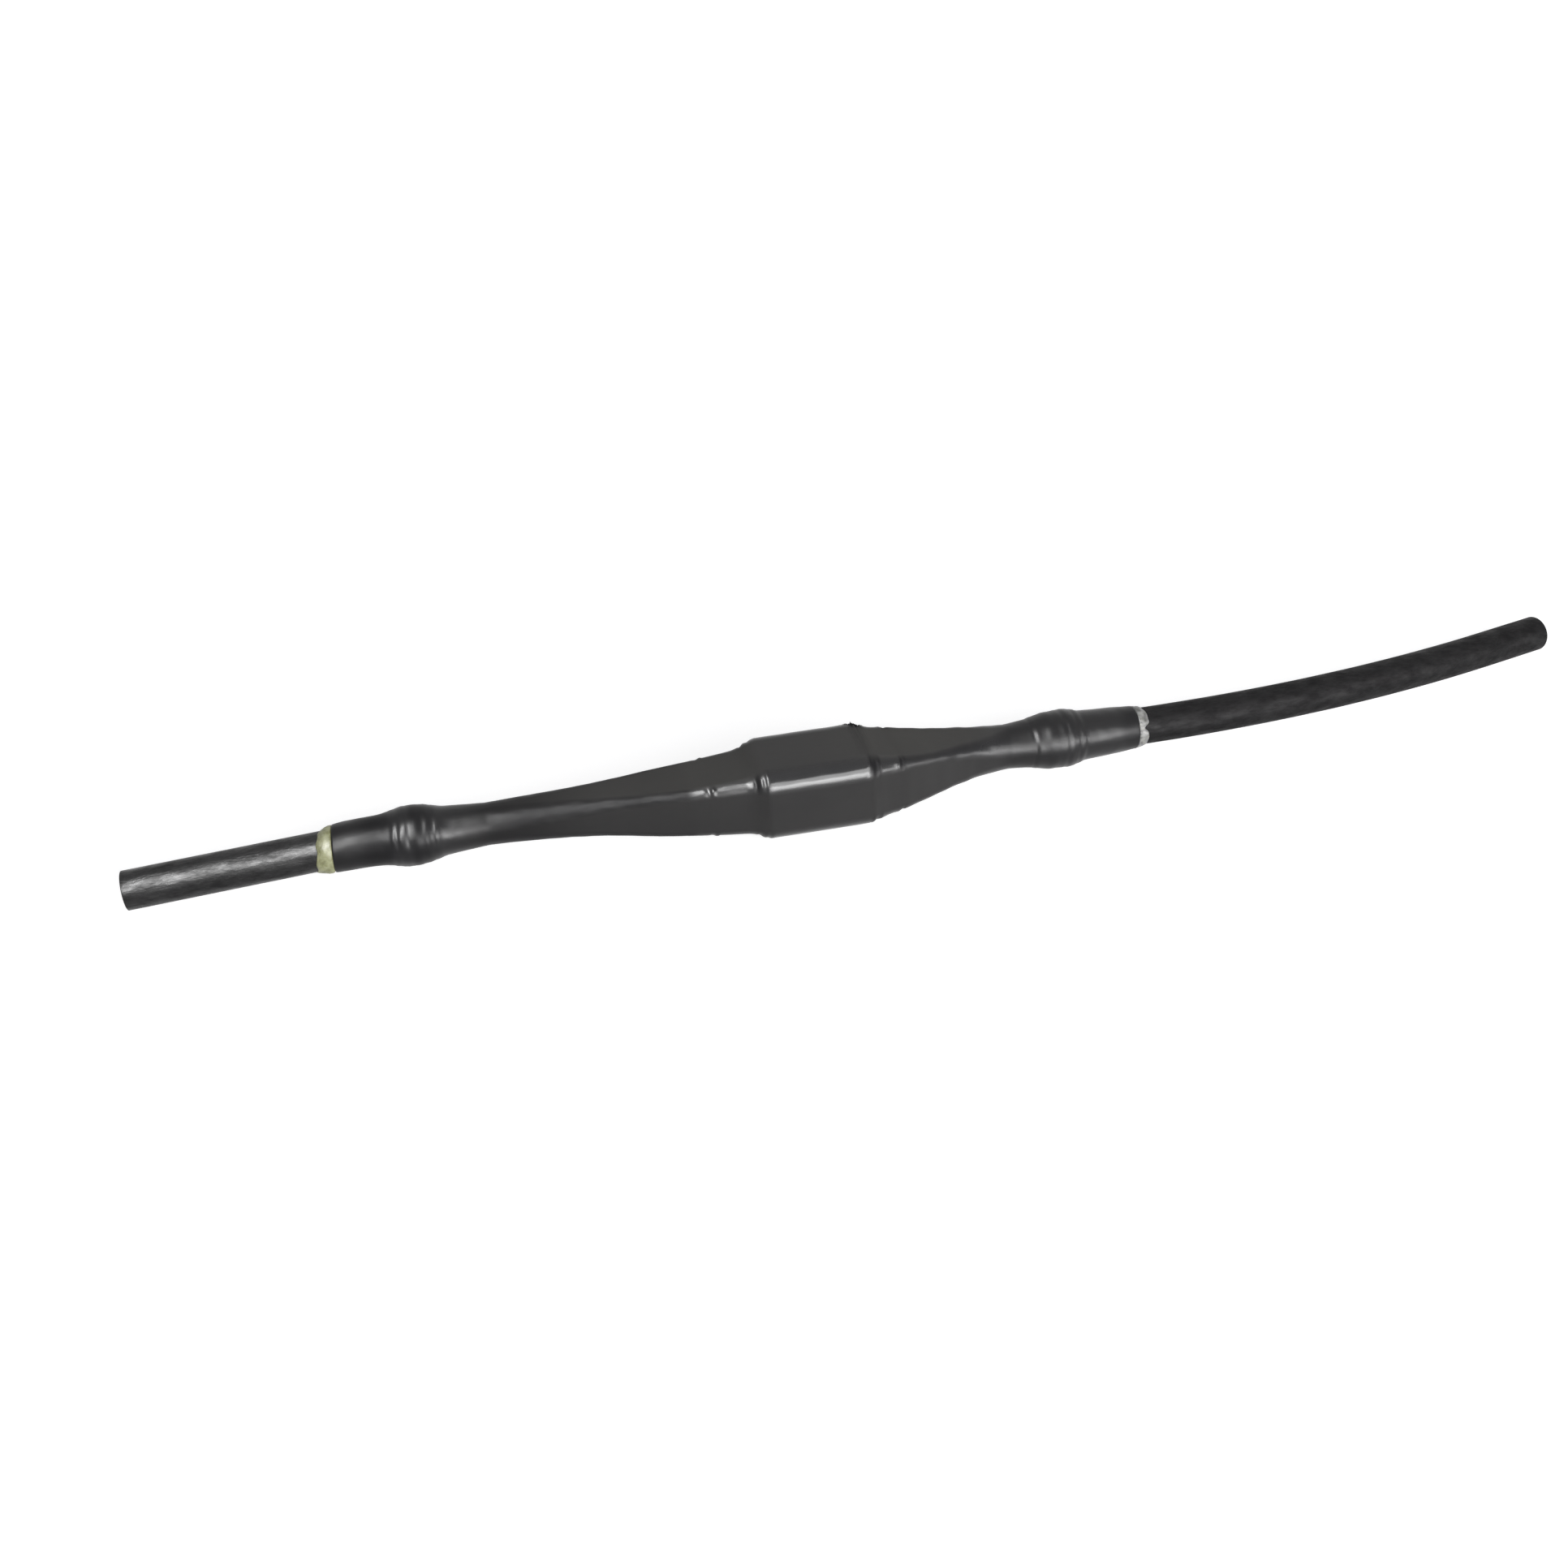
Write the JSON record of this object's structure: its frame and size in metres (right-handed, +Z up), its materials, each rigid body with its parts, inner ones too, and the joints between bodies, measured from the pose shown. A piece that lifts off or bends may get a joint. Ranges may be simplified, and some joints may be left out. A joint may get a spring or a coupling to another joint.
{
  "type": "cable joint",
  "caption": "heat-shrink straight joint between two armoured multi-core power cables, with a squarish body, swollen clamp zones and sealed necks, lying flat",
  "frame": {"origin": "on the flat underside, below the middle of the connector block", "axes": "+X along the connectors towards the right-hand cable, +Y across, away from the camera's side, +Z up from the flat underside"},
  "size_m": [1.4425, 0.1439, 0.0778],
  "materials": {
    "cable_sheath": "satin black PVC",
    "galvanised_wire": "dull galvanised",
    "bedding": "matt black",
    "core_brown": "smooth",
    "core_black": "smooth",
    "core_grey": "smooth",
    "core_blue": "smooth",
    "copper": "bare copper",
    "ring_steel": "zinc plated",
    "spring_steel": "bright stainless strip",
    "sealant_green": "waxy, slightly translucent",
    "sealant_grey": "waxy",
    "connector_metal": "tinned",
    "bolt_brass": "sheared",
    "inner_sleeve": "satin",
    "braid": "tinned copper braid",
    "outer_sleeve": "satin black polyolefin"
  },
  "bodies": {
    "root": {"left_sheath": "cable_sheath", "left_armour": "galvanised_wire", "left_bedding": "bedding", "left_core_brown": "core_brown", "left_core_black": "core_black", "left_core_grey": "core_grey", "left_core_blue": "core_blue", "left_conductor_brown": "copper", "left_conductor_black": "copper", "left_conductor_grey": "copper", "left_conductor_blue": "copper", "left_support_ring": "ring_steel", "left_roll_spring": "spring_steel", "left_sealant": "sealant_green", "right_sheath": "cable_sheath", "right_armour": "galvanised_wire", "right_bedding": "bedding", "right_core_brown": "core_brown", "right_core_black": "core_black", "right_core_grey": "core_grey", "right_core_blue": "core_blue", "right_conductor_brown": "copper", "right_conductor_black": "copper", "right_conductor_grey": "copper", "right_conductor_blue": "copper", "right_support_ring": "ring_steel", "right_roll_spring": "spring_steel", "right_sealant": "sealant_grey", "connector_brown": "connector_metal", "connector_black": "connector_metal", "connector_grey": "connector_metal", "connector_blue": "connector_metal", "bolts_brown": "bolt_brass", "bolts_black": "bolt_brass", "bolts_grey": "bolt_brass", "bolts_blue": "bolt_brass", "inner_sleeve_brown": "inner_sleeve", "inner_sleeve_black": "inner_sleeve", "inner_sleeve_grey": "inner_sleeve", "inner_sleeve_blue": "inner_sleeve", "earth_braid": "braid", "outer_sleeve": "outer_sleeve"}
  },
  "joints": []
}
